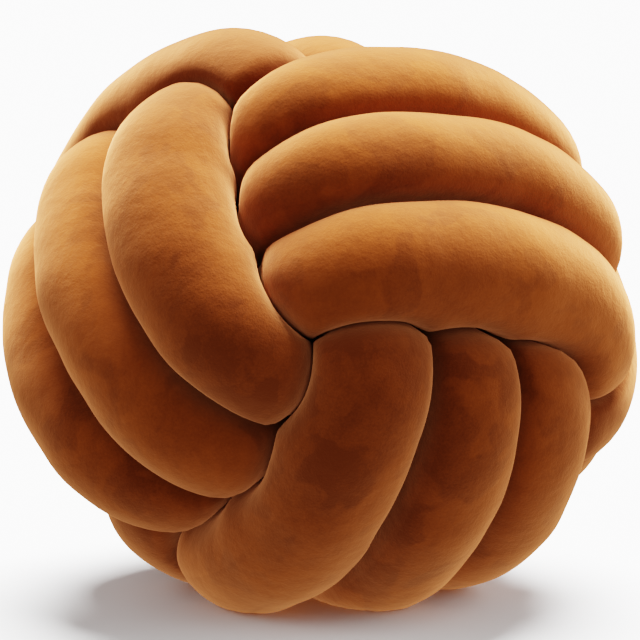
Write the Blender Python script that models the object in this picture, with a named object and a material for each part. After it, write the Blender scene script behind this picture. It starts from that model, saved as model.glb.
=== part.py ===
"""Knot cushion: one long stuffed velvet tube, tied on itself into a ball.

The knot has three bands that cross at right angles, as the faces of a cube do. Each band is three
turns of the tube side by side. On each of the six faces a band passes over another one, and then
it dives below its neighbour. The last turn of each band bends under a face into the next band, and
the last band leads back into the first one, where the tube's two ends are joined out of sight.

The tube is a loft between unlike sections. Each section is round where nothing touches it, and
flat where it presses on another pass of the tube or on the floor.

Metres, +Z up. The cushion stands on z = 0, centred on the origin, and its best side faces -Y.
"""

import math

import bpy
import numpy as np

# Driving sizes in metres: the ball's width, depth and height as it has settled, and how deep the
# floor presses into it.
BALL_WIDTH = 0.300
BALL_DEPTH = 0.292
BALL_HEIGHT = 0.267
FLAT_DEPTH = 0.009

# The knot is laid out in widths of the tube, which is about a fifth as wide as the ball. These are
# the distances of the tube's middle from the ball's middle where it passes over a face and where it
# passes under one, and how far a band closes up where it passes under a face.
OVER = 1.96
UNDER = 1.08
CLOSE_UP = 0.62
# Angles from a face's middle, in degrees: where the tube starts to dive and where it is down; and
# where its neighbours start to hide it, and over how many degrees it closes up there.
DIVE_START = 30.0
DIVE_END = 72.0
HIDE_START = 46.0
CLOSE_UP_OVER = 20.0

# Radii in tube widths: in the open, and where the tube is packed in below the faces.
OPEN_RADIUS = 0.53
PACKED_RADIUS = 0.36
# Within this stretch of the tube, in tube widths, it presses on itself as evenly wide.
NEAR = 2.2
# Clearance between two passes that press on each other, in tube widths.
CREASE = 0.06
# On the inside of a bend the tube reaches this share of the way to the bend's middle, which is
# found from the places along the tube that are further off than this, in tube widths.
BEND_SHARE = 0.85
SAME_PLACE = 0.15
# How far the wider of two close passes may press into the other one: 0 for halfway, 1 for wholly.
LEAN = 0.4
# How round the tube stays where it is pressed: a higher number gives flatter contacts.
FIRMNESS = 6.0
# The least and the greatest distance from the tube's middle to its surface, in tube widths.
THINNEST = 0.04
WIDEST = 9.0

# How many sections the tube is divided into, how much closer they stand in a bend, how many sides
# each section has, how many sections are worked out at a time, and on how many points of the
# tube's middle they are taken to press.
SECTIONS = 400
CROWDING = 0.5
SIDES = 14
BATCH = 50
PRESSING_STEPS = 1000

# How the ball is turned. Three faces show from the front, at these angles from the right-hand side,
# and the corner between them is turned up and to the left by a few degrees.
FACE_ANGLES = {"L": 174.0, "R": 54.0, "B": -66.0}
TURN_UP = 6.5
TURN_LEFT = 2.4

VELVET_COLOUR = (0.305, 0.082, 0.013, 1.0)
VELVET_ROUGHNESS = 0.85

# Each band: the axis that it passes over, the axis that it passes under, and the axis across it.
# Axes 0, 1 and 2 point at faces L, R and B; faces V, U and T lie opposite them.
BANDS = {"LV": (0, 2, 1), "RU": (1, 0, 2), "BT": (2, 1, 0)}

# The eighteen passes over a face, in the order in which the tube makes them. Columns: the band; the
# face's angle in the band; the way round; how far the tube runs off the face's middle line where it
# comes up, at its crown and where it dives; how much higher than OVER it runs; by how many degrees
# more than DIVE_START and HIDE_START it stays up and open before and after the crown; and how full
# it is there.
PASSES = (
    ("LV", 180, 1, 0.60, 0.70, 0.70, 0.00, 8, 0, 1.00),
    ("LV", 0, 1, 1.08, 0.99, 0.76, 0.00, 0, -1, 1.16),
    ("LV", 180, 1, 0.00, 0.00, 0.00, 0.00, 0, 0, 1.00),
    ("LV", 0, 1, 0.15, 0.10, 0.00, 0.00, 6, 4, 1.00),
    ("LV", 180, 1, -0.75, -0.92, -0.75, 0.00, 0, 0, 1.00),
    ("LV", 0, 1, -0.66, -0.86, -0.60, 0.02, 8, -4, 1.00),
    ("RU", 0, 1, 1.05, 0.92, 0.82, 0.00, 8, 10, 1.12),
    ("RU", 180, 1, 0.70, 0.88, 0.75, -0.08, -2, 10, 1.00),
    ("RU", 0, 1, 0.16, 0.10, 0.06, 0.03, 14, 8, 0.95),
    ("RU", 180, 1, 0.00, 0.00, 0.00, 0.00, 0, 0, 1.00),
    ("RU", 0, 1, -0.60, -0.66, -0.60, 0.05, 12, 0, 1.00),
    ("RU", 180, 1, -0.75, -0.92, -0.75, 0.00, 6, 0, 1.00),
    ("BT", 0, -1, -0.42, -0.95, -1.10, 0.03, 0, 0, 1.00),
    ("BT", 180, -1, -0.75, -0.92, -0.75, 0.00, 0, 0, 1.00),
    ("BT", 0, -1, 0.06, -0.16, -0.45, 0.00, 0, 0, 1.00),
    ("BT", 180, -1, 0.00, 0.05, 0.00, 0.00, 0, 2, 1.00),
    ("BT", 0, -1, 0.72, 0.72, 0.52, 0.00, 0, 4, 1.08),
    ("BT", 180, -1, 1.15, 1.15, 0.95, 0.12, 8, 10, 1.05),
)
# The angles from a face's middle at which a pass over it and a pass under the next one are laid
# out, and the angles between which the tube moves across to its next place in the band.
OVER_ANGLES = (-52, -39, -26, -13, 0, 13, 26, 39, 52)
UNDER_ANGLES = (70, 90, 110)
CROSS_FROM = 60
CROSS_TO = 120
# Where a band's last turn bends below a corner into the next band: the angle at which it leaves,
# how far it closes up, and how far the bend swings out.
BEND_ANGLE = 84
BEND_CLOSE_UP = 0.9
BEND_SWING = 1.2

# How the passes settle against each other: the number of stages, of rounds in each, and of points
# along the tube; how far overlapping passes are pushed apart, held to their places, drawn tight and
# kept from kinking in each round; how far a pass over a face gives way; and how far it may be
# lifted.
STAGES = 8
ROUNDS = 35
ROUTE_STEPS = 600
PUSH = 0.3
HOLD = 0.12
DRAW = 0.10
STIFFNESS = 0.25
OPEN_GIVE = 0.20
LIFT_LIMIT = 0.02


def smooth_step(value):
    """A rise from 0 to 1 with level ends."""
    value = np.clip(value, 0.0, 1.0)
    return value * value * (3.0 - 2.0 * value)


def band_point(band, angle, across, distance):
    """A point of a band's loop, in tube widths along the three face axes."""
    over_axis, under_axis, across_axis = BANDS[band]
    point = np.zeros(3)
    point[over_axis] = distance * math.cos(math.radians(angle))
    point[under_axis] = distance * math.sin(math.radians(angle))
    point[across_axis] = across
    return point


def pass_points(row):
    """One pass over a face, from where it comes up to where it dives.

    Rows of x, y, z, how far it is hidden from 0 to 1, and its radius in the open.
    """
    band, face, way, comes_up, crown, dives, rise, reach_in, reach_out, fullness = row
    points = []
    for angle in OVER_ANGLES:
        share = angle / OVER_ANGLES[-1]
        bend = (comes_up + dives) / 2.0 - crown
        across = crown + (dives - comes_up) / 2.0 * share + bend * share * share
        over = math.sqrt((OVER + rise) ** 2 - across ** 2)
        further = abs(angle) - (reach_in if angle < 0 else reach_out)
        sunk = smooth_step((further - DIVE_START) / (DIVE_END - DIVE_START))
        distance = over + (UNDER - over) * sunk
        point = band_point(band, face + way * angle, across, distance)
        hidden = smooth_step((further - HIDE_START) / CLOSE_UP_OVER)
        points.append((*point, hidden, OPEN_RADIUS * fullness))
    return points


def route_points():
    """The tube's whole route as such rows, from the first pass round to it again."""
    points = []
    for number, row in enumerate(PASSES):
        points += pass_points(row)
        following = PASSES[(number + 1) % len(PASSES)]
        band, face, way, leaves = row[0], row[1], row[2], row[5]
        if following[0] == band:
            arrives = following[3]
            for angle in UNDER_ANGLES:
                share = (angle - CROSS_FROM) / (CROSS_TO - CROSS_FROM)
                across = CLOSE_UP * (leaves + (arrives - leaves) * share)
                point = band_point(band, face + way * angle, across, UNDER)
                points.append((*point, 1.0, OPEN_RADIUS))
        else:
            points += bend_points(row, following)
    return np.array(points)


def bend_points(row, following):
    """The quarter turn below a corner that leads from one band into the next."""
    band, face, way, leaves = row[0], row[1], row[2], row[5]
    next_band, next_face, next_way, arrives = following[:4]
    first = band_point(band, face + way * BEND_ANGLE, leaves * BEND_CLOSE_UP, UNDER)
    last_angle = next_face - next_way * BEND_ANGLE
    last = band_point(next_band, last_angle, arrives * BEND_CLOSE_UP, UNDER)
    middle = (first + last) / 2.0 * BEND_SWING
    return [(*place, 1.0, OPEN_RADIUS) for place in (first, middle, last)]


def closed_curve(rows, count, crowding=0.0):
    """Count rows along the smooth closed cubic curve through the given rows.

    The steps are even, or shorter in a bend by the crowding times its curvature.
    """
    total = len(rows)
    steps = np.sqrt(step_sizes(rows[:, :3]))
    before = np.roll(steps, 1)
    matrix = np.diag(2.0 * (before + steps))
    index = np.arange(total)
    matrix[index, index - 1] += before
    matrix[index, (index + 1) % total] += steps
    slopes = (np.roll(rows, -1, 0) - rows) / steps[:, None]
    bends = np.linalg.solve(matrix, 6.0 * (slopes - np.roll(slopes, 1, 0)))
    knots = np.concatenate([[0.0], np.cumsum(steps)])

    def at(values):
        piece = np.clip(np.searchsorted(knots, values, side="right") - 1, 0, total - 1)
        after = (piece + 1) % total
        size = steps[piece][:, None]
        left = (values - knots[piece])[:, None]
        right = size - left
        cubic = (bends[piece] * right ** 3 + bends[after] * left ** 3) / (6.0 * size)
        start = (rows[piece] / size - bends[piece] * size / 6.0) * right
        end = (rows[after] / size - bends[after] * size / 6.0) * left
        return cubic + start + end

    fine = np.linspace(0.0, knots[-1], 10 * total, endpoint=False)
    places = at(fine)[:, :3]
    lengths = step_sizes(places) * (1.0 + crowding * np.linalg.norm(bend_of(places), axis=1))
    along = np.concatenate([[0.0], np.cumsum(lengths)])
    wanted = np.linspace(0.0, along[-1], count, endpoint=False)
    return at(np.interp(wanted, along, np.append(fine, knots[-1])))


def step_sizes(points):
    """The distance from each point of a closed line to the next one."""
    return np.linalg.norm(np.roll(points, -1, 0) - points, axis=1)


def bend_of(points):
    """The curvature of a closed line at each point, as a vector towards the bend's middle."""
    steps = step_sizes(points)
    heading = (np.roll(points, -1, 0) - points) / steps[:, None]
    change = heading - np.roll(heading, 1, 0)
    return 2.0 * change / (steps + np.roll(steps, 1))[:, None]


def settle(rows):
    """Push apart the passes that lie nearer than their widths, as the stuffing does.

    The passes over a face stay close to their places, and the hidden ones give way. The points
    are spread evenly along the tube again before each stage. Returns rows of x, y, z, the radius
    as packed and the radius in the open.
    """
    rows = np.column_stack([rows, rows[:, :3]])
    for _ in range(STAGES):
        rows = closed_curve(rows, ROUTE_STEPS)
        hidden, open_radius = np.clip(rows[:, 3], 0.0, 1.0), rows[:, 4]
        radius = open_radius + (PACKED_RADIUS - open_radius) * hidden
        rows[:, :3] = pushed_apart(rows[:, :3], rows[:, 5:], radius, hidden)
    return np.column_stack([rows[:, :3], radius, open_radius])


def pushed_apart(points, places, radius, hidden):
    """One stage of settling: the points after a number of small moves."""
    highest = np.maximum(np.linalg.norm(places, axis=1), OVER) + LIFT_LIMIT
    count = len(points)
    apart = np.abs(np.arange(count)[:, None] - np.arange(count)[None])
    apart = np.minimum(apart, count - apart) * step_sizes(points).mean()
    touch = np.where(apart > NEAR, radius[:, None] + radius[None], 0.0)
    give = OPEN_GIVE + (1.0 - OPEN_GIVE) * hidden
    for _ in range(ROUNDS):
        away = points[:, None] - points[None]
        distance = np.sqrt((away ** 2).sum(2)) + 1e-9
        overlap = np.clip(touch - distance, 0.0, None)
        touching = np.maximum((overlap > 0).sum(1), 1)[:, None]
        push = ((overlap / distance)[:, :, None] * away).sum(1) / touching
        points = points + PUSH * give[:, None] * push
        points += HOLD * (1.0 - hidden)[:, None] * (places - points)
        curl = (np.roll(points, 1, 0) + np.roll(points, -1, 0)) / 2.0 - points
        kink = (np.roll(curl, 1, 0) + np.roll(curl, -1, 0)) / 2.0 - curl
        points += DRAW * hidden[:, None] * curl - STIFFNESS * kink
        points *= np.minimum(1.0, highest / np.linalg.norm(points, axis=1))[:, None]
    return points


def section_axes(points):
    """Two directions across the tube at each point, turned evenly so that they close."""
    along = np.roll(points, -1, 0) - np.roll(points, 1, 0)
    along /= np.linalg.norm(along, axis=1)[:, None]
    side = np.zeros_like(points)
    first = np.cross(along[0], (0.3, 0.5, 0.8))
    side[0] = first / np.linalg.norm(first)
    for index in range(1, len(points)):
        carried = side[index - 1] - along[index] * (side[index - 1] @ along[index])
        side[index] = carried / np.linalg.norm(carried)
    other = np.cross(along, side)
    carried = side[-1] - along[0] * (side[-1] @ along[0])
    twist = math.atan2(carried @ other[0], carried @ side[0])
    turned = (-twist * np.arange(len(points)) / len(points))[:, None]
    across = side * np.cos(turned) + other * np.sin(turned)
    return across, np.cross(along, across)


def pressed_sections(sections, passes, sides, crease):
    """Outline points of each section, in tube widths.

    Two passes share the space between them at the plane where both are equally far in terms of
    their radii. A section reaches the nearest such plane in each direction, or most of the way to
    the middle of a bend, rounded off towards its own radius.
    """
    centres, radius, free_radius = sections[:, :3], sections[:, 3], sections[:, 4]
    others, other_radius = passes[:, :3], passes[:, 3]
    place = np.concatenate([[0.0], np.cumsum(step_sizes(centres))])
    other_place = np.cumsum(step_sizes(others)) - step_sizes(others)[0]
    side, up = section_axes(centres)
    angles = 2.0 * math.pi * np.arange(sides) / sides
    rays = side[:, None] * np.cos(angles)[:, None] + up[:, None] * np.sin(angles)[:, None]
    reach = np.zeros((len(centres), sides))
    for start in range(0, len(centres), BATCH):
        part = slice(start, start + BATCH)
        away = others[None] - centres[part, None]
        squared = (away ** 2).sum(2)
        along = np.abs(place[:-1][part, None] - other_place[None])
        along = np.minimum(along, place[-1] - along)
        facing = np.einsum("ijk,ilk->ijl", rays[part], away)
        meets = (facing > 1e-6) & (along[:, None] > SAME_PLACE)
        apart = smooth_step(along / NEAR)
        power = (radius[part, None] ** 2 - other_radius[None] ** 2) * apart
        power = np.clip(power, -LEAN * squared, LEAN * squared)
        share = BEND_SHARE + (1.0 - BEND_SHARE) * apart
        middle = share * (squared + power - crease * apart * np.sqrt(squared)) / 2.0
        walls = middle[:, None] / np.where(meets, facing, 1.0)
        reach[part] = np.where(meets, walls, WIDEST).min(2)
    reach = np.clip(reach, THINNEST, WIDEST)
    reach = (reach ** -FIRMNESS + free_radius[:, None] ** -FIRMNESS) ** (-1.0 / FIRMNESS)
    return centres[:, None] + rays * reach[:, :, None]


def face_axes():
    """World directions of faces L, R and B, which are the three axes of the knot."""
    rows = []
    for name in ("L", "R", "B"):
        angle = math.radians(FACE_ANGLES[name])
        flat = math.sqrt(2.0 / 3.0)
        rows.append((flat * math.cos(angle), -math.sqrt(1.0 / 3.0), flat * math.sin(angle)))
    up, left = math.radians(TURN_UP), math.radians(TURN_LEFT)
    raised = np.array((
        (1.0, 0.0, 0.0),
        (0.0, math.cos(up), -math.sin(up)),
        (0.0, math.sin(up), math.cos(up)),
    ))
    turned = np.array((
        (math.cos(left), -math.sin(left), 0.0),
        (math.sin(left), math.cos(left), 0.0),
        (0.0, 0.0, 1.0),
    ))
    return np.array(rows) @ raised @ turned


def tube_vertices(sections, sides, crease):
    """The tube's surface in metres, standing on z = 0: an array of (section, side, xyz)."""
    route = settle(route_points())
    centres = closed_curve(route, sections, CROWDING)
    shape = pressed_sections(centres, closed_curve(route, PRESSING_STEPS), sides, crease)
    shape = shape @ face_axes()
    low, high = shape.min((0, 1)), shape.max((0, 1))
    shape -= ((low[0] + high[0]) / 2.0, (low[1] + high[1]) / 2.0, low[2])
    shape *= np.array((BALL_WIDTH, BALL_DEPTH, BALL_HEIGHT + FLAT_DEPTH)) / (high - low)
    shape[..., 2] = np.maximum(shape[..., 2] - FLAT_DEPTH, 0.0)
    return shape


def tube_faces(sections, sides):
    """Four-sided faces that join each section to the next one, and the last one to the first."""
    section = np.arange(sections)[:, None]
    side = np.arange(sides)[None]
    next_section, next_side = (section + 1) % sections, (side + 1) % sides
    corners = (
        section * sides + side,
        next_section * sides + side,
        next_section * sides + next_side,
        section * sides + next_side,
    )
    return np.stack(np.broadcast_arrays(*corners), axis=-1).reshape(-1, 4)


def clear_scene():
    """Remove whatever the file starts with."""
    for thing in list(bpy.data.objects):
        bpy.data.objects.remove(thing, do_unlink=True)


def velvet():
    """Rust brown velvet."""
    material = bpy.data.materials.new("velvet")
    material.use_nodes = True
    shader = material.node_tree.nodes["Principled BSDF"]
    shader.inputs["Base Color"].default_value = VELVET_COLOUR
    shader.inputs["Roughness"].default_value = VELVET_ROUGHNESS
    shader.inputs["Metallic"].default_value = 0.0
    return material


def knotted_tube():
    """The whole cushion: one stuffed tube, tied into a ball."""
    mesh = bpy.data.meshes.new("knotted_tube")
    vertices = tube_vertices(SECTIONS, SIDES, CREASE).reshape(-1, 3)
    mesh.from_pydata(vertices.tolist(), [], tube_faces(SECTIONS, SIDES).tolist())
    mesh.shade_smooth()
    mesh.materials.append(velvet())
    return bpy.data.objects.new("knotted_tube", mesh)


def main():
    clear_scene()
    collection = bpy.data.collections.new("knot_cushion")
    bpy.context.scene.collection.children.link(collection)
    collection.objects.link(knotted_tube())


if __name__ == "__main__":
    main()
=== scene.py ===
"""Knot cushion: one long stuffed velvet tube, tied on itself into a ball, with its finish.

The tube's surface is one grid. Its first parameter runs along the tube's middle, which is a closed
route through eighteen passes over the ball's faces, and its second one runs around the tube. Where
two passes press on each other they share the space at a plane between them. The stuffing gives the
surface soft lumps, and the velvet puckers on the inner side of a bend.

Metres, +Z up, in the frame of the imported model. The camera looks along +Y. The knot is laid out in
widths of the tube and in degrees, and is scaled to the ball's sizes at the end.
"""

import math
from collections import namedtuple

import bpy
import numpy as np
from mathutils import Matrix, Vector


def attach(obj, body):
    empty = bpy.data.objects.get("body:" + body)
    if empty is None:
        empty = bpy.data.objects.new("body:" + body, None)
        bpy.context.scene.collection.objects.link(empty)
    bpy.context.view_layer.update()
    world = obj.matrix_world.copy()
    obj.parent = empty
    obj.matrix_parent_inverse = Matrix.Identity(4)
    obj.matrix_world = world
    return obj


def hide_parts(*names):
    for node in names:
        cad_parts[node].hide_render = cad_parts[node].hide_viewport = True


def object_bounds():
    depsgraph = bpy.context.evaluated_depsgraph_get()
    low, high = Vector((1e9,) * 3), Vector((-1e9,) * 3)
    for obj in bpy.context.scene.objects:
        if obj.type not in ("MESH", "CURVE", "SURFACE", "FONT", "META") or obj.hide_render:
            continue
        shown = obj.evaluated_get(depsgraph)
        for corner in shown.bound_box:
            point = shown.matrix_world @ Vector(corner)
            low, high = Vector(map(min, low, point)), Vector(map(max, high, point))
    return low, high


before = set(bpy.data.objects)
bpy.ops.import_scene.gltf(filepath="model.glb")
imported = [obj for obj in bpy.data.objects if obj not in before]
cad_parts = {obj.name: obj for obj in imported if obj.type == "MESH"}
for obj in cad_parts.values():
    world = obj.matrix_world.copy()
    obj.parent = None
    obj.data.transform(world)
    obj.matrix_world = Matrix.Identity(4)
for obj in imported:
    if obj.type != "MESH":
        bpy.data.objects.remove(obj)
CAD_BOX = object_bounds()

# ---------------------------------------------------------------------------------------------
# Sizes of the knot
# ---------------------------------------------------------------------------------------------

# The ball's sizes are the solid's. It stands on flats that its weight presses this deep into it.
BALL_WIDTH, BALL_DEPTH, BALL_HEIGHT = (high - low for low, high in zip(*CAD_BOX))
FLAT_DEPTH = 0.009

# Distances of the tube's middle from the ball's middle where it passes over a face and where it
# passes under one, and how far a band closes up where it passes under a face. All are in widths of
# the tube, which is about a fifth as wide as the ball.
OVER = 1.96
UNDER = 1.08
CLOSE_UP = 0.62
# Angles from a face's middle, in degrees: where the tube starts to dive and where it is down; and
# where its neighbours start to hide it, and over how many degrees it closes up there.
DIVE_START = 30.0
DIVE_END = 72.0
HIDE_START = 46.0
CLOSE_UP_OVER = 20.0

# Radii in tube widths: in the open, and where the tube is packed in below the faces.
OPEN_RADIUS = 0.53
PACKED_RADIUS = 0.36
# Within this stretch of the tube, in tube widths, it presses on itself as evenly wide.
NEAR = 2.2
# Clearance between two passes that press on each other, in tube widths.
CREASE = 0.012
# On the inside of a bend the tube reaches this share of the way to the bend's middle, which is
# found from the places along the tube that are further off than this, in tube widths.
BEND_SHARE = 0.85
SAME_PLACE = 0.15
# How far the wider of two close passes may press into the other one: 0 for halfway, 1 for wholly.
LEAN = 0.4
# How round the tube stays where it is pressed: a higher number gives flatter contacts.
FIRMNESS = 8.5
# The least and the greatest distance from the tube's middle to its surface, in tube widths.
THINNEST = 0.04
WIDEST = 9.0
# Keeps a division safe where two places meet.
NEARLY_NOTHING = 1e-9

# How many sections the tube is divided into, how much closer they stand in a bend and in the open,
# how many sides each section has, how many sections are worked out at a time, on how many points of
# the tube's middle they are taken to press, and how many steps a curve has to each of its rows where
# its length is measured.
SECTIONS = 1500
CROWDING = 0.15
OPEN_CROWDING = 1.6
SIDES = 64
BATCH = 40
PRESSING_STEPS = 1000
MEASURING_STEPS = 10
# A direction that the tube's middle isn't parallel to at its first section.
FIRST_SIDE = (0.3, 0.5, 0.8)

# How the ball is turned. Three faces show from the front, at these angles from the right-hand side,
# and the corner between them is turned up and to the left by a few degrees.
FACE_ANGLES = {"L": 174.0, "R": 54.0, "B": -66.0}
TURN_UP = 6.5
TURN_LEFT = 2.4

# Each band: the axis that it passes over, the axis that it passes under, and the axis across it.
# Axes 0, 1 and 2 point at faces L, R and B; faces V, U and T lie opposite them.
BANDS = {"LV": (0, 2, 1), "RU": (1, 0, 2), "BT": (2, 1, 0)}

# The eighteen passes over a face, in the order in which the tube makes them. Columns: the band; the
# face's angle in the band; the way round; how far the tube runs off the face's middle line where it
# comes up, at its crown and where it dives; how much higher than OVER it runs; by how many degrees
# more than DIVE_START and HIDE_START it stays up and open before and after the crown; how full it
# is there; and how much shade is painted into its colour where it comes up and where it dives: 0 is
# none and 1 is full, and from below 0 it stays unshaded for longer. The painted shade is darker
# towards the ends that lie under neighbouring passes and on passes that lie in shade.
Pass = namedtuple("Pass", (
    "band", "face", "way", "comes_up", "crown", "dives",
    "rise", "reach_in", "reach_out", "fullness", "nap_in", "nap_out",
))
PASSES = tuple(Pass(*row) for row in (
    ("LV", 180, 1, 0.60, 0.70, 0.70, 0.00, 8, 0, 1.00, 1.00, 1.00),
    ("LV", 0, 1, 1.16, 0.92, 0.75, 0.05, -6, -1, 1.03, 0.60, 0.80),
    ("LV", 180, 1, 0.00, 0.00, 0.00, 0.00, 0, 0, 1.00, 0.60, 0.60),
    ("LV", 0, 1, 0.15, 0.10, 0.00, 0.00, 6, 4, 1.00, 0.46, 0.52),
    ("LV", 180, 1, -0.75, -0.92, -0.75, 0.00, 0, 0, 1.00, 0.55, 0.55),
    ("LV", 0, 1, -0.66, -0.86, -0.60, 0.02, 8, -4, 1.00, 0.45, 0.50),
    ("RU", 0, 1, 1.05, 0.92, 0.84, 0.00, 8, -7, 1.12, -0.20, 0.75),
    ("RU", 180, 1, 0.70, 0.88, 0.75, -0.08, -2, 10, 1.00, 0.90, 0.90),
    ("RU", 0, 1, 0.16, 0.10, 0.08, 0.03, 14, -8, 0.95, -0.20, 0.85),
    ("RU", 180, 1, 0.00, 0.00, 0.00, 0.00, 0, 0, 1.00, 0.60, 0.60),
    ("RU", 0, 1, -0.60, -0.66, -0.58, 0.05, 12, -10, 1.00, -0.15, 0.75),
    ("RU", 180, 1, -0.75, -0.92, -0.75, 0.00, 6, 0, 1.00, 0.55, 0.55),
    ("BT", 0, -1, -0.42, -0.95, -1.10, 0.03, 0, 0, 1.00, 0.60, 0.15),
    ("BT", 180, -1, -0.75, -0.92, -0.75, 0.00, 0, 0, 1.00, 0.55, 0.55),
    ("BT", 0, -1, 0.06, -0.16, -0.45, 0.00, 0, 0, 1.00, 0.85, 0.20),
    ("BT", 180, -1, 0.00, 0.05, 0.00, 0.00, 0, 2, 1.00, 0.20, 0.20),
    ("BT", 0, -1, 0.72, 0.72, 0.52, 0.00, 0, 4, 1.08, 0.85, 0.10),
    ("BT", 180, -1, 1.15, 1.15, 0.95, 0.12, 8, 10, 1.05, 1.00, 1.00),
))
# The angles from a face's middle at which a pass over it and a pass under the next one are laid
# out, and the angles between which the tube moves across to its next place in the band.
OVER_ANGLES = (-52, -39, -26, -13, 0, 13, 26, 39, 52)
UNDER_ANGLES = (70, 90, 110)
CROSS_FROM = 60
CROSS_TO = 120
# Where a band's last turn bends below a corner into the next band: the angle at which it leaves,
# how far it closes up, and how far the bend swings out.
BEND_ANGLE = 84
BEND_CLOSE_UP = 0.9
BEND_SWING = 1.2

# How the passes settle against each other: the number of stages, of rounds in each, and of points
# along the tube; how far overlapping passes are pushed apart, held to their places, drawn tight and
# kept from kinking in each round; how far a pass over a face gives way; and how far it may be
# lifted.
STAGES = 8
ROUNDS = 35
ROUTE_STEPS = 600
PUSH = 0.3
HOLD = 0.12
DRAW = 0.10
STIFFNESS = 0.25
OPEN_GIVE = 0.20
LIFT_LIMIT = 0.02

# ---------------------------------------------------------------------------------------------
# Soft forms of the stuffed velvet, in tube widths
# ---------------------------------------------------------------------------------------------

# Lumps of the stuffing. Columns: how many waves run along the whole tube and around it, the height
# of a wave, and where it starts, as a share of a turn.
LUMPS = (
    (61, 1, 0.0050, 0.13),
    (83, -2, 0.0040, 0.71),
    (113, 1, 0.0035, 0.38),
    (149, 3, 0.0022, 0.92),
    (191, -1, 0.0024, 0.05),
    (239, 2, 0.0014, 0.57),
    (307, -3, 0.0010, 0.26),
)
# Puckers on the inner side of a bend: how tight the bend is where they begin and where they are
# full, how deep they are, how sharp their bottoms are, and how many there are to a tube's width.
PUCKER_FROM = 0.55
PUCKER_FULL = 2.2
PUCKER_DEPTH = 0.022
PUCKER_SHARPNESS = 4
PUCKERS_PER_WIDTH = 8.0
# How far two slow waves shift the puckers, how many waves the first one has to a tube's width, and
# how high, how many times as fast and how far ahead the second one is.
PUCKER_WANDER = 2.4
WANDER_PER_WIDTH = 0.83
SECOND_HEIGHT = 0.6
SECOND_PACE = 2.3
SECOND_START = 1.7

# ---------------------------------------------------------------------------------------------
# Velvet, floor, light and camera
# ---------------------------------------------------------------------------------------------

# The velvet's colour unshaded and at full darkness, towards which the painted shade and the
# pile's dark patches mix it, and how far its roughness differs between the two.
VELVET_LIGHT = (0.190, 0.038, 0.0042, 1.0)
VELVET_DARK = (0.078, 0.0120, 0.0010, 1.0)
VELVET_ROUGHNESS = 0.85
ROUGHNESS_RANGE = 0.12
SHEEN_WEIGHT = 1.0
SHEEN_ROUGHNESS = 0.52
SHEEN_TINT = (1.0, 0.38, 0.15, 1.0)

# Noises that are added to each pass's painted shade: broad strokes, brushed patches and mottling.
# Columns: waves to a metre; detail; roughness; distortion; the two values of the noise between
# which the pile changes; and how much darker it is at the one and at the other.
NAP_NOISES = (
    (12.0, 1.0, 0.50, 0.30, 0.380, 0.620, -0.12, 0.22),
    (34.0, 2.0, 0.55, 0.35, 0.525, 0.585, -0.10, 0.22),
    (95.0, 3.0, 0.60, 0.40, 0.350, 0.680, -0.08, 0.14),
)
# The same columns for the single tufts, which follow their noise evenly.
TUFTS = (900.0, 2.0, 0.60, 0.00, 0.300, 0.700, -0.12, 0.12)
# How far the patterns move for each metre along the tube.
STRAND_DRIFT = (0.21, -0.13, 0.17)
# The pile's fine height and the velvet's softer unevenness: waves to a metre, detail, roughness.
PILE = (1000.0, 2.0, 0.65)
UNEVENNESS = (140.0, 2.0, 0.5)
UNEVENNESS_HEIGHT = 3.0
BUMP_STRENGTH = 0.5
BUMP_DISTANCE = 0.00025

FLOOR_COLOUR = (0.82, 0.82, 0.82, 1.0)
FLOOR_SIZE = 24.0

# Broad distant lights. Columns: name; strength; how wide it is, how far it leans back and how far to
# the left, in degrees.
SOFT_SUNS = (
    ("overhead_light", 18.5, 44.0, 25.0, -6.0),
    ("left_light", 0.55, 50.0, -10.0, 50.0),
    ("right_light", 1.4, 50.0, 0.0, -65.0),
)
# Brightness of the white room from the horizon up, and straight below.
ROOM_AROUND = 0.35
ROOM_BELOW = 1.1
# The picture's tone curve, with deep and saturated darks, and how many stops it is brightened.
TONE_CURVE = "Filmic"
TONE_CONTRAST = "Medium High Contrast"
BRIGHTENED = 0.46

# The camera's distance from the point that it looks at, its angle above the floor, how wide its view
# is there, the width of its picture plane in millimetres, and that point.
CAMERA_DISTANCE = 1.6
CAMERA_ELEVATION = 8.0
FRAME_WIDTH = 0.3026
SENSOR_WIDTH = 36.0
AIM = (-0.0005, 0.0, BALL_HEIGHT / 2.0 - 0.0051)


# ---------------------------------------------------------------------------------------------
# The route of the tube's middle
# ---------------------------------------------------------------------------------------------


def smooth_step(value):
    """A rise from 0 to 1 with level ends: three times the square less twice the cube."""
    value = np.clip(value, 0.0, 1.0)
    return value * value * (3.0 - 2.0 * value)


def band_point(band, angle, across, distance):
    """A point of a band's loop: a circle about the axis across it, moved along that axis."""
    over_axis, under_axis, across_axis = BANDS[band]
    point = np.zeros(3)
    point[over_axis] = distance * math.cos(math.radians(angle))
    point[under_axis] = distance * math.sin(math.radians(angle))
    point[across_axis] = across
    return point


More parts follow.
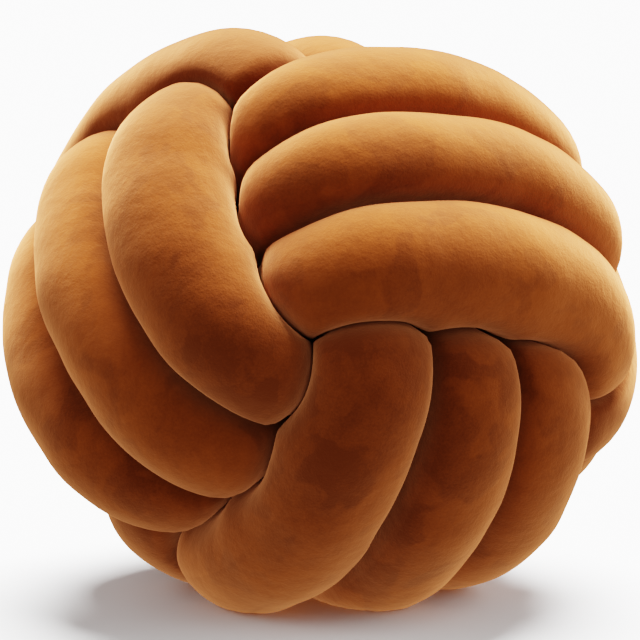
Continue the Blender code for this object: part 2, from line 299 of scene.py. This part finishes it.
def over_points(turn):
    """One pass over a face, from where it comes up to where it dives.

    Across the band it follows a parabola through its three places. Its distance from the ball's
    middle falls from OVER to UNDER by a smooth step of the angle. Rows of x, y, z, how far it is
    hidden from 0 to 1, its radius in the open, and how much shade is painted into its colour.
    """
    points = []
    for angle in OVER_ANGLES:
        share = angle / OVER_ANGLES[-1]
        bend = (turn.comes_up + turn.dives) / 2.0 - turn.crown
        across = turn.crown + (turn.dives - turn.comes_up) / 2.0 * share + bend * share * share
        over = math.sqrt((OVER + turn.rise) ** 2 - across ** 2)
        further = abs(angle) - (turn.reach_in if angle < 0 else turn.reach_out)
        sunk = smooth_step((further - DIVE_START) / (DIVE_END - DIVE_START))
        distance = over + (UNDER - over) * sunk
        point = band_point(turn.band, turn.face + turn.way * angle, across, distance)
        hidden = smooth_step((further - HIDE_START) / CLOSE_UP_OVER)
        # Painted shade: the pass's colour is darkened from its value where it comes up to its value
        # where it dives.
        nap = turn.nap_in + (turn.nap_out - turn.nap_in) * (share + 1.0) / 2.0
        points.append((*point, hidden, OPEN_RADIUS * turn.fullness, nap))
    return points


def under_points(turn, following):
    """A straight run across to the next place in the band, below the face in between, as such rows."""
    points = []
    for angle in UNDER_ANGLES:
        share = (angle - CROSS_FROM) / (CROSS_TO - CROSS_FROM)
        across = CLOSE_UP * (turn.dives + (following.comes_up - turn.dives) * share)
        point = band_point(turn.band, turn.face + turn.way * angle, across, UNDER)
        points.append((*point, 1.0, OPEN_RADIUS, turn.nap_out))
    return points


def bend_points(turn, following):
    """The quarter turn below a corner that leads from one band into the next, as such rows."""
    first_angle = turn.face + turn.way * BEND_ANGLE
    first = band_point(turn.band, first_angle, turn.dives * BEND_CLOSE_UP, UNDER)
    last_angle = following.face - following.way * BEND_ANGLE
    last = band_point(following.band, last_angle, following.comes_up * BEND_CLOSE_UP, UNDER)
    middle = (first + last) / 2.0 * BEND_SWING
    return [(*place, 1.0, OPEN_RADIUS, turn.nap_out) for place in (first, middle, last)]


def route_points():
    """The tube's whole route as such rows, from the first pass round to it again."""
    points = []
    for number, turn in enumerate(PASSES):
        following = PASSES[(number + 1) % len(PASSES)]
        leads_on = under_points if following.band == turn.band else bend_points
        points += over_points(turn) + leads_on(turn, following)
    return np.array(points)


def step_sizes(points):
    """The distance from each point of a closed line to the next one."""
    return np.linalg.norm(np.roll(points, -1, 0) - points, axis=1)


def bend_of(points):
    """The curvature of a closed line at each point, as a vector towards the bend's middle.

    It is twice the change of heading over the sum of the two steps that meet there.
    """
    steps = step_sizes(points)
    heading = (np.roll(points, -1, 0) - points) / steps[:, None]
    change = heading - np.roll(heading, 1, 0)
    return 2.0 * change / (steps + np.roll(steps, 1))[:, None]


def closed_curve(rows, count, crowding=0.0, open_crowding=0.0):
    """Count rows along the smooth closed cubic curve through the given rows.

    A natural cubic runs from row to row, over a span that is the root of their distance. The steps
    are even, or shorter by the crowding times the curvature and by the open crowding times how far
    the tube is in the open, which is taken from column 3.
    """
    total = len(rows)
    spans = np.sqrt(step_sizes(rows[:, :3]))
    before = np.roll(spans, 1)
    matrix = np.diag(2.0 * (before + spans))
    index = np.arange(total)
    matrix[index, index - 1] += before
    matrix[index, (index + 1) % total] += spans
    slopes = (np.roll(rows, -1, 0) - rows) / spans[:, None]
    bends = np.linalg.solve(matrix, 6.0 * (slopes - np.roll(slopes, 1, 0)))
    knots = np.concatenate([[0.0], np.cumsum(spans)])

    def at(values):
        piece = np.clip(np.searchsorted(knots, values, side="right") - 1, 0, total - 1)
        after = (piece + 1) % total
        size = spans[piece][:, None]
        left = (values - knots[piece])[:, None]
        right = size - left
        cubic = (bends[piece] * right ** 3 + bends[after] * left ** 3) / (6.0 * size)
        start = (rows[piece] / size - bends[piece] * size / 6.0) * right
        end = (rows[after] / size - bends[after] * size / 6.0) * left
        return cubic + start + end

    fine = np.linspace(0.0, knots[-1], MEASURING_STEPS * total, endpoint=False)
    places = at(fine)
    curvature = np.linalg.norm(bend_of(places[:, :3]), axis=1)
    in_the_open = 1.0 - np.clip(places[:, 3], 0.0, 1.0)
    weight = 1.0 + crowding * curvature + open_crowding * in_the_open
    along = np.concatenate([[0.0], np.cumsum(step_sizes(places[:, :3]) * weight)])
    wanted = np.linspace(0.0, along[-1], count, endpoint=False)
    return at(np.interp(wanted, along, np.append(fine, knots[-1])))


def settle(rows):
    """Push apart the passes that lie nearer than their widths, as the stuffing does.

    The passes over a face stay close to their own places, which are carried along in columns 6 to
    8, and the hidden ones give way. The points are spread evenly along the tube again before each
    stage. Returns rows of x, y, z, how far the tube is hidden, its radius as packed, its radius in
    the open and how much shade is painted into its colour.
    """
    rows = np.column_stack([rows, rows[:, :3]])
    for _ in range(STAGES):
        rows = closed_curve(rows, ROUTE_STEPS)
        hidden, open_radius = np.clip(rows[:, 3], 0.0, 1.0), rows[:, 4]
        radius = open_radius + (PACKED_RADIUS - open_radius) * hidden
        rows[:, :3] = pushed_apart(rows[:, :3], rows[:, 6:], radius, hidden)
    return np.column_stack([rows[:, :3], hidden, radius, open_radius, rows[:, 5]])


def pushed_apart(points, places, radius, hidden):
    """One stage of settling: the points after a number of small moves.

    Each move is away from the overlapping passes, back towards the point's own place, towards the
    line between its neighbours, and against the sharpest kinks.
    """
    highest = np.maximum(np.linalg.norm(places, axis=1), OVER) + LIFT_LIMIT
    count = len(points)
    apart = np.abs(np.arange(count)[:, None] - np.arange(count)[None])
    apart = np.minimum(apart, count - apart) * step_sizes(points).mean()
    touch = np.where(apart > NEAR, radius[:, None] + radius[None], 0.0)
    give = OPEN_GIVE + (1.0 - OPEN_GIVE) * hidden
    for _ in range(ROUNDS):
        away = points[:, None] - points[None]
        distance = np.sqrt((away ** 2).sum(2)) + NEARLY_NOTHING
        overlap = np.clip(touch - distance, 0.0, None)
        touching = np.maximum((overlap > 0).sum(1), 1)[:, None]
        push = ((overlap / distance)[:, :, None] * away).sum(1) / touching
        points = points + PUSH * give[:, None] * push
        points += HOLD * (1.0 - hidden)[:, None] * (places - points)
        curl = (np.roll(points, 1, 0) + np.roll(points, -1, 0)) / 2.0 - points
        kink = (np.roll(curl, 1, 0) + np.roll(curl, -1, 0)) / 2.0 - curl
        points += DRAW * hidden[:, None] * curl - STIFFNESS * kink
        points *= np.minimum(1.0, highest / np.linalg.norm(points, axis=1))[:, None]
    return points


# ---------------------------------------------------------------------------------------------
# The tube's surface
# ---------------------------------------------------------------------------------------------


def section_axes(points):
    """Two directions across the tube at each point.

    The first is carried along the tube without turning about it, and what is left over at the end
    is shared out evenly, so that the directions close.
    """
    along = np.roll(points, -1, 0) - np.roll(points, 1, 0)
    along /= np.linalg.norm(along, axis=1)[:, None]
    side = np.zeros_like(points)
    first = np.cross(along[0], FIRST_SIDE)
    side[0] = first / np.linalg.norm(first)
    for index in range(1, len(points)):
        carried = side[index - 1] - along[index] * (side[index - 1] @ along[index])
        side[index] = carried / np.linalg.norm(carried)
    other = np.cross(along, side)
    carried = side[-1] - along[0] * (side[-1] @ along[0])
    twist = math.atan2(carried @ other[0], carried @ side[0])
    turned = (-twist * np.arange(len(points)) / len(points))[:, None]
    across = side * np.cos(turned) + other * np.sin(turned)
    return across, np.cross(along, across)


def pressed_reach(centres, radius, passes, rays, place):
    """How far the tube reaches along each ray before it meets another pass.

    For a ray u and another pass at D, that is (D.D + power - crease * |D|) / (2 u.D), where the
    power is the difference of the squared radii. Near by on the same pass the power and the crease
    fade out, which leaves most of the way to the middle of the bend.
    """
    others, other_radius = passes[:, :3], passes[:, 4]
    other_place = np.cumsum(step_sizes(others)) - step_sizes(others)[0]
    reach = np.zeros(rays.shape[:2])
    for start in range(0, len(centres), BATCH):
        part = slice(start, start + BATCH)
        away = others[None] - centres[part, None]
        squared = (away ** 2).sum(2)
        along = np.abs(place[:-1][part, None] - other_place[None])
        along = np.minimum(along, place[-1] - along)
        apart = smooth_step(along / NEAR)
        power = (radius[part, None] ** 2 - other_radius[None] ** 2) * apart
        power = np.clip(power, -LEAN * squared, LEAN * squared)
        share = BEND_SHARE + (1.0 - BEND_SHARE) * apart
        middle = share * (squared + power - CREASE * apart * np.sqrt(squared)) / 2.0
        facing = np.matmul(rays[part], away.transpose(0, 2, 1))
        meets = (facing > NEARLY_NOTHING) & (along[:, None] > SAME_PLACE)
        walls = middle[:, None] / np.where(meets, facing, 1.0)
        reach[part] = np.where(meets, walls, WIDEST).min(2)
    return np.clip(reach, THINNEST, WIDEST)


def stuffing_lumps(turn_along, turn_around):
    """Height of the stuffing's lumps: a sum of slanting waves that close along and around."""
    height = 0.0
    for waves_along, waves_around, size, start in LUMPS:
        phase = waves_along * turn_along + waves_around * turn_around + start
        height = height + size * np.cos(2.0 * math.pi * phase)
    return height


def puckers(inward, place, turn_around):
    """Depth of the puckers: narrow grooves across the tube where the velvet is squeezed lengthwise.

    The grooves are the fourth power of a half wave along the tube. Slow waves shift them, so that
    they stand unevenly and run slightly aslant.
    """
    squeezed = smooth_step((inward - PUCKER_FROM) / (PUCKER_FULL - PUCKER_FROM))
    slow = 2.0 * math.pi * (WANDER_PER_WIDTH * place + turn_around)
    second = SECOND_HEIGHT * np.sin(SECOND_PACE * slow + SECOND_START)
    wander = PUCKER_WANDER * (np.sin(slow) + second)
    groove = np.cos(math.pi * PUCKERS_PER_WIDTH * place + wander) ** PUCKER_SHARPNESS
    return PUCKER_DEPTH * squeezed * groove


def face_axes():
    """World directions of faces L, R and B, which are the three axes of the knot.

    They lean evenly away from the line of sight, as the three faces at a cube's corner do, and are
    then turned up and to the left.
    """
    rows = []
    for name in ("L", "R", "B"):
        angle = math.radians(FACE_ANGLES[name])
        flat = math.sqrt(2.0 / 3.0)
        rows.append((flat * math.cos(angle), -math.sqrt(1.0 / 3.0), flat * math.sin(angle)))
    up, left = math.radians(TURN_UP), math.radians(TURN_LEFT)
    raised = np.array((
        (1.0, 0.0, 0.0),
        (0.0, math.cos(up), -math.sin(up)),
        (0.0, math.sin(up), math.cos(up)),
    ))
    turned = np.array((
        (math.cos(left), -math.sin(left), 0.0),
        (math.sin(left), math.cos(left), 0.0),
        (0.0, 0.0, 1.0),
    ))
    return np.array(rows) @ raised @ turned


def tube_surface():
    """The tube's surface in metres as an array of (section, side, xyz).

    With it come the place along the tube and how much shade is painted into its colour, for each of
    its points.

    A point is the tube's middle plus its ray times the reach. The reach and the open radius are
    joined by their powers of minus FIRMNESS, which rounds off the pressed edges, and then the
    lumps and puckers are added. The whole is scaled to the ball's sizes and flattened below.
    """
    route = settle(route_points())
    sections = closed_curve(route, SECTIONS, CROWDING, OPEN_CROWDING)
    centres, radius, open_radius = sections[:, :3], sections[:, 4], sections[:, 5:6]
    # Painted shade of each section, darker where the tube lies in shade.
    nap = sections[:, 6:]
    place = np.concatenate([[0.0], np.cumsum(step_sizes(centres))])
    side, up = section_axes(centres)
    turn_around = np.arange(SIDES)[None] / SIDES
    angles = 2.0 * math.pi * turn_around[..., None]
    rays = side[:, None] * np.cos(angles) + up[:, None] * np.sin(angles)

    reach = pressed_reach(centres, radius, closed_curve(route, PRESSING_STEPS), rays, place)
    reach = (reach ** -FIRMNESS + open_radius ** -FIRMNESS) ** (-1.0 / FIRMNESS)
    inward = np.einsum("ijk,ik->ij", rays, bend_of(centres))
    along = place[:-1, None]
    free = smooth_step(reach / open_radius)
    reach = reach + free * stuffing_lumps(along / place[-1], turn_around)
    reach = reach - free * puckers(inward, along, turn_around)

    shape = (centres[:, None] + rays * reach[:, :, None]) @ face_axes()
    low, high = shape.min((0, 1)), shape.max((0, 1))
    shape -= ((low[0] + high[0]) / 2.0, (low[1] + high[1]) / 2.0, low[2])
    shape *= np.array((BALL_WIDTH, BALL_DEPTH, BALL_HEIGHT + FLAT_DEPTH)) / (high - low)
    shape[..., 2] = np.maximum(shape[..., 2] - FLAT_DEPTH, 0.0)
    scale = BALL_WIDTH / (high - low)[0]
    return shape, np.broadcast_to(along * scale, reach.shape), np.broadcast_to(nap, reach.shape)


def tube_faces():
    """Four-sided faces that join each section to the next one, and the last one to the first."""
    section = np.arange(SECTIONS)[:, None]
    side = np.arange(SIDES)[None]
    next_section, next_side = (section + 1) % SECTIONS, (side + 1) % SIDES
    corners = (
        section * SIDES + side,
        next_section * SIDES + side,
        next_section * SIDES + next_side,
        section * SIDES + next_side,
    )
    return np.stack(np.broadcast_arrays(*corners), axis=-1).reshape(-1, 4)


def grid_mesh(name, points, faces):
    """A smooth mesh of four-sided faces from whole arrays."""
    mesh = bpy.data.meshes.new(name)
    mesh.vertices.add(len(points))
    mesh.vertices.foreach_set("co", points.astype(np.float32).ravel())
    mesh.loops.add(faces.size)
    mesh.loops.foreach_set("vertex_index", faces.astype(np.int32).ravel())
    mesh.polygons.add(len(faces))
    mesh.polygons.foreach_set("loop_start", np.arange(0, faces.size, 4, dtype=np.int32))
    mesh.update(calc_edges=True)
    mesh.validate()
    mesh.shade_smooth()
    return mesh


def velvet_tube():
    """The cushion: the whole tube as one piece, which rides on the only body."""
    points, along, nap = tube_surface()
    mesh = grid_mesh("velvet_tube", points.reshape(-1, 3), tube_faces())
    # The second attribute carries the painted shade into the velvet's colour.
    for name, values in (("along", along), ("nap", nap)):
        layer = mesh.attributes.new(name, "FLOAT", "POINT")
        layer.data.foreach_set("value", values.astype(np.float32).ravel())
    mesh.materials.append(velvet())
    tube = bpy.data.objects.new("velvet_tube", mesh)
    bpy.context.scene.collection.objects.link(tube)
    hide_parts("knotted_tube")
    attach(tube, "root")


# ---------------------------------------------------------------------------------------------
# Finish
# ---------------------------------------------------------------------------------------------


def noise(tree, vector, scale, detail, roughness, distortion=0.0):
    """A noise on the given vector, with its scale in waves to a metre."""
    node = tree.nodes.new("ShaderNodeTexNoise")
    node.inputs["Scale"].default_value = scale
    node.inputs["Detail"].default_value = detail
    node.inputs["Roughness"].default_value = roughness
    node.inputs["Distortion"].default_value = distortion
    tree.links.new(vector, node.inputs["Vector"])
    return node.outputs["Fac"]


def spread(tree, value, low, high, to_low, to_high, smooth=True):
    """Map a value's range to another one, held at its ends and level there if it is smooth."""
    node = tree.nodes.new("ShaderNodeMapRange")
    node.interpolation_type = "SMOOTHSTEP" if smooth else "LINEAR"
    node.inputs["From Min"].default_value = low
    node.inputs["From Max"].default_value = high
    node.inputs["To Min"].default_value = to_low
    node.inputs["To Max"].default_value = to_high
    tree.links.new(value, node.inputs["Value"])
    return node.outputs["Result"]


def combine(tree, operation, first, second):
    """One math node; each side is a socket or a number."""
    node = tree.nodes.new("ShaderNodeMath")
    node.operation = operation
    for entry, value in zip(node.inputs, (first, second)):
        if isinstance(value, (int, float)):
            entry.default_value = value
        else:
            tree.links.new(value, entry)
    return node.outputs["Value"]


def strand_coordinates(tree):
    """Object coordinates, moved on with the distance along the tube.

    So two passes that lie side by side have different patterns, and each pattern stays whole.
    """
    nodes = tree.nodes
    place = nodes.new("ShaderNodeTexCoord")
    along = nodes.new("ShaderNodeAttribute")
    along.attribute_name = "along"
    drift = nodes.new("ShaderNodeVectorMath")
    drift.operation = "SCALE"
    drift.inputs[0].default_value = STRAND_DRIFT
    tree.links.new(along.outputs["Fac"], drift.inputs["Scale"])
    moved = nodes.new("ShaderNodeVectorMath")
    moved.operation = "ADD"
    tree.links.new(place.outputs["Object"], moved.inputs[0])
    tree.links.new(drift.outputs["Vector"], moved.inputs[1])
    return moved.outputs["Vector"]


def painted_shade_and_nap(tree, close):
    """How dark the velvet is, from 0 to 1: painted shade by its place in the knot plus the noises of
    the nap.
    """
    place = strand_coordinates(tree)
    # Painted shade of each pass, read from the mesh.
    shade_attribute = tree.nodes.new("ShaderNodeAttribute")
    shade_attribute.attribute_name = "nap"
    nap = shade_attribute.outputs["Fac"]
    for scale, detail, roughness, distortion, *ranges in NAP_NOISES:
        pattern = noise(tree, place, scale, detail, roughness, distortion)
        nap = combine(tree, "ADD", spread(tree, pattern, *ranges), nap)
    tufts = noise(tree, close, *TUFTS[:4])
    return combine(tree, "ADD", nap, spread(tree, tufts, *TUFTS[4:], smooth=False))


def pile_bump(tree, close):
    """The normal of a fine bump: the pile's height and a softer unevenness under it."""
    unevenness = combine(tree, "MULTIPLY", noise(tree, close, *UNEVENNESS), UNEVENNESS_HEIGHT)
    bump = tree.nodes.new("ShaderNodeBump")
    bump.inputs["Strength"].default_value = BUMP_STRENGTH
    bump.inputs["Distance"].default_value = BUMP_DISTANCE
    height = combine(tree, "ADD", noise(tree, close, *PILE), unevenness)
    tree.links.new(height, bump.inputs["Height"])
    return bump.outputs["Normal"]


def velvet():
    """Short-pile rust velvet.

    Its colour is painted darker as shade by its place in the knot, and the pile lies light or dark in
    brushed patches, with fine mottling and single tufts in them. The sheen catches grazing light.
    """
    material = bpy.data.materials.new("velvet")
    material.use_nodes = True
    tree = material.node_tree
    shader = tree.nodes["Principled BSDF"]
    close = tree.nodes.new("ShaderNodeTexCoord").outputs["Object"]

    # Painted shade and the pile's dark patches mix the base colour towards the dark velvet.
    nap = painted_shade_and_nap(tree, close)
    colour = tree.nodes.new("ShaderNodeMix")
    colour.data_type = "RGBA"
    tree.links.new(nap, colour.inputs["Factor"])
    colour.inputs["A"].default_value = VELVET_LIGHT
    colour.inputs["B"].default_value = VELVET_DARK
    smoothest = VELVET_ROUGHNESS - ROUGHNESS_RANGE / 2.0
    roughness = spread(tree, nap, 0.0, 1.0, smoothest, smoothest + ROUGHNESS_RANGE)
    tree.links.new(colour.outputs["Result"], shader.inputs["Base Color"])
    tree.links.new(roughness, shader.inputs["Roughness"])
    tree.links.new(pile_bump(tree, close), shader.inputs["Normal"])

    shader.inputs["Metallic"].default_value = 0.0
    shader.inputs["Specular IOR Level"].default_value = 0.0
    shader.inputs["Sheen Weight"].default_value = SHEEN_WEIGHT
    shader.inputs["Sheen Roughness"].default_value = SHEEN_ROUGHNESS
    shader.inputs["Sheen Tint"].default_value = SHEEN_TINT
    return material


# ---------------------------------------------------------------------------------------------
# Stage, light and camera
# ---------------------------------------------------------------------------------------------


def floor():
    """A wide pale floor at the height on which the cushion rests.

    It sends no light up to the cushion: the room below the horizon stands for that light.
    """
    half = FLOOR_SIZE / 2.0
    corners = [(-half, -half, 0.0), (half, -half, 0.0), (half, half, 0.0), (-half, half, 0.0)]
    mesh = bpy.data.meshes.new("floor")
    mesh.from_pydata(corners, [], [(0, 1, 2, 3)])
    material = bpy.data.materials.new("floor_paint")
    material.use_nodes = True
    shader = material.node_tree.nodes["Principled BSDF"]
    shader.inputs["Base Color"].default_value = FLOOR_COLOUR
    shader.inputs["Roughness"].default_value = 1.0
    shader.inputs["Specular IOR Level"].default_value = 0.0
    mesh.materials.append(material)
    ground = bpy.data.objects.new("floor", mesh)
    bpy.context.scene.collection.objects.link(ground)
    ground.visible_diffuse = False


def soft_suns():
    """The broad distant lights, which light the floor evenly."""
    for name, strength, width, tilt_back, tilt_left in SOFT_SUNS:
        light = bpy.data.lights.new(name, "SUN")
        light.energy = strength
        light.angle = math.radians(width)
        lamp = bpy.data.objects.new(name, light)
        lamp.rotation_euler = (-math.radians(tilt_back), -math.radians(tilt_left), 0.0)
        bpy.context.scene.collection.objects.link(lamp)


def surroundings():
    """A white room, brighter below the horizon, as over a white table."""
    world = bpy.data.worlds.new("room")
    world.use_nodes = True
    nodes, links = world.node_tree.nodes, world.node_tree.links
    direction = nodes.new("ShaderNodeTexCoord")
    parts = nodes.new("ShaderNodeSeparateXYZ")
    links.new(direction.outputs["Generated"], parts.inputs["Vector"])
    brightness = nodes.new("ShaderNodeMapRange")
    brightness.inputs["From Min"].default_value = -1.0
    brightness.inputs["From Max"].default_value = 0.0
    brightness.inputs["To Min"].default_value = ROOM_BELOW
    brightness.inputs["To Max"].default_value = ROOM_AROUND
    links.new(parts.outputs["Z"], brightness.inputs["Value"])
    background = nodes["Background"]
    background.inputs["Color"].default_value = (1.0, 1.0, 1.0, 1.0)
    links.new(brightness.outputs["Result"], background.inputs["Strength"])
    bpy.context.scene.world = world


def camera():
    """The photograph's view, from the front and a little above, with a long lens."""
    elevation = math.radians(CAMERA_ELEVATION)
    back = Vector((0.0, -math.cos(elevation), math.sin(elevation)))
    lens = bpy.data.cameras.new("camera")
    lens.sensor_width = SENSOR_WIDTH
    lens.lens = SENSOR_WIDTH * CAMERA_DISTANCE / FRAME_WIDTH
    lens.clip_end = 2.0 * FLOOR_SIZE
    viewer = bpy.data.objects.new("camera", lens)
    viewer.location = Vector(AIM) + back * CAMERA_DISTANCE
    viewer.rotation_euler = (-back).to_track_quat("-Z", "Y").to_euler()
    bpy.context.scene.collection.objects.link(viewer)
    bpy.context.scene.camera = viewer


def tone():
    """The picture's tone curve and brightness."""
    settings = bpy.context.scene.view_settings
    settings.view_transform = TONE_CURVE
    settings.look = TONE_CONTRAST
    settings.exposure = BRIGHTENED


velvet_tube()
floor()
soft_suns()
surroundings()
camera()
tone()
